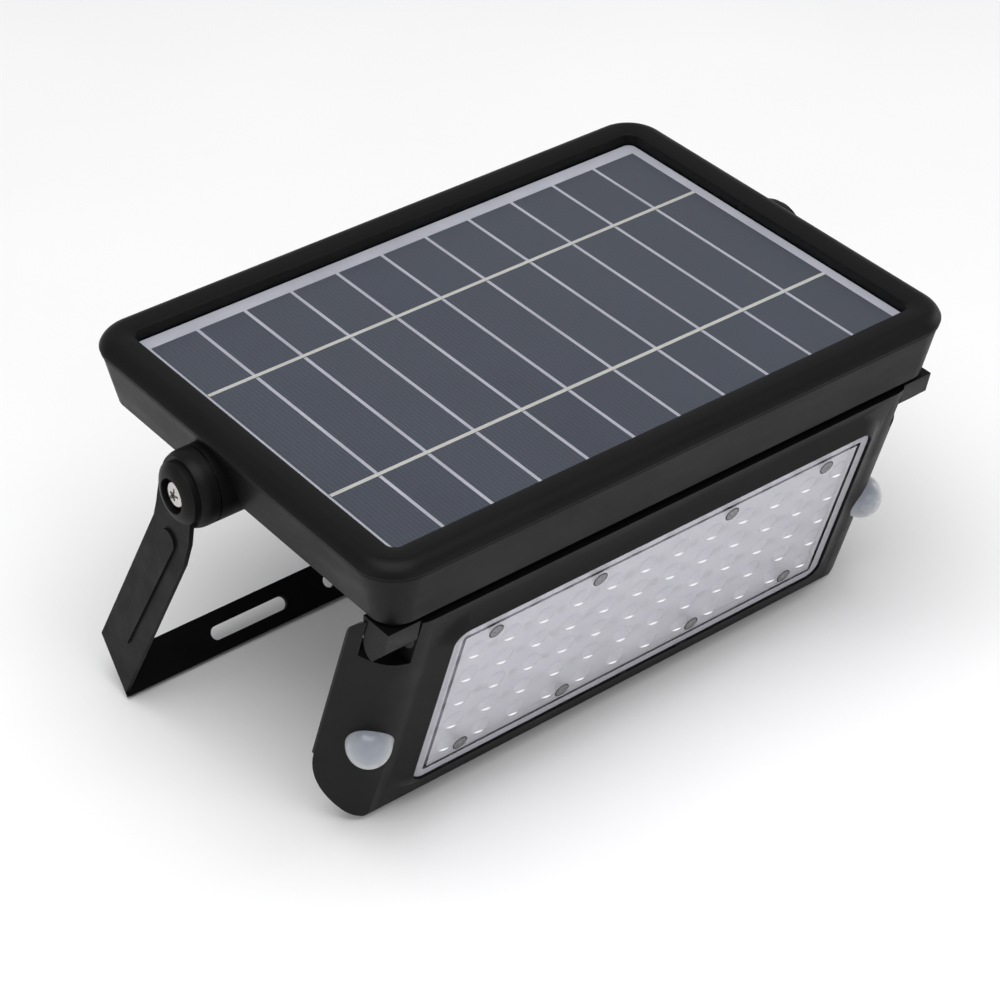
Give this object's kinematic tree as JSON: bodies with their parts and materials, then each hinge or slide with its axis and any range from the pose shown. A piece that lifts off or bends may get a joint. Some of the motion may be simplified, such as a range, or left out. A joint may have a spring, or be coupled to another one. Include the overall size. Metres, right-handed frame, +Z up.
{
  "type": "solar flood light",
  "caption": "Solar flood light: a framed panel over a battery tray, tilting on a stirrup bracket, with a folding LED lamp and motion sensors under its front edge.",
  "frame": {"origin": "centre of the bracket's mounting face, midway between its two round holes", "axes": "+X along the long side of the panel, +Y to the rear of the light, away from the lamp's face, +Z up with the panel level"},
  "size_m": [0.3012, 0.1946, 0.1407],
  "materials": {
    "bracket_steel": "fine-textured satin black powder coat",
    "housing": "satin black moulded plastic",
    "holder_plastic": "matt",
    "panel_glass": "clear",
    "cell_silicon": "dark slate blue with fine printed fingers",
    "ribbon": "tinned",
    "backsheet": "white film",
    "seal_rubber": "matt",
    "cell_sleeve": "shrink sleeve",
    "circuit_board": "solder mask",
    "component_black": "matt",
    "zinc_steel": "zinc plated",
    "stainless": "bright",
    "lead_jacket": "matt",
    "button_rubber": "matt",
    "lens_clear": "clear moulded polycarbonate",
    "led_board_white": "white solder mask on aluminium",
    "led_phosphor": "phosphor coated",
    "dome_milky": "milky polyethylene"
  },
  "bodies": {
    "bracket": {"mounting_bracket": "bracket_steel", "pivot_caps": "housing", "pivot_spacers": "housing", "friction_washers": "zinc_steel"},
    "head": {"panel_frame": "housing", "head_tray": "housing", "solar_glass": "panel_glass", "solar_cells": "cell_silicon", "cell_ribbons": "ribbon", "panel_backsheet": "backsheet", "panel_gasket": "seal_rubber", "battery_cells": "cell_sleeve", "battery_holder": "holder_plastic", "control_board": "circuit_board", "board_components": "component_black", "button_switch": "zinc_steel", "tray_screws": "stainless", "pivot_screws": "stainless", "pivot_nuts": "stainless", "hinge_pins": "stainless", "head_lead": "lead_jacket"},
    "lamp": {"lamp_bezel": "housing", "lamp_rear_cover": "housing", "lens_plate": "lens_clear", "lens_seal": "seal_rubber", "led_board": "led_board_white", "leds": "led_phosphor", "lens_screws": "stainless", "sensor_domes": "dome_milky", "sensor_cans": "zinc_steel", "sensor_boards": "circuit_board", "rear_cover_screws": "stainless", "hinge_washers": "holder_plastic", "lamp_lead": "lead_jacket"},
    "button": {"power_button": "button_rubber"}
  },
  "joints": [
    {"name": "head_tilt", "type": "hinge", "parent": "bracket", "child": "head", "pos_m": [0, -0.048, 0.112], "axis": [1, 0, 0], "range_deg": [-120, 36]},
    {"name": "lamp_fold", "type": "hinge", "parent": "head", "child": "lamp", "pos_m": [0, -0.1427, 0.0933], "axis": [1, 0, 0], "range_deg": [0, 64]},
    {"name": "button_press", "type": "slide", "parent": "head", "child": "button", "axis": [0, 0, 1], "range_m": [0, 0.0008]}
  ]
}
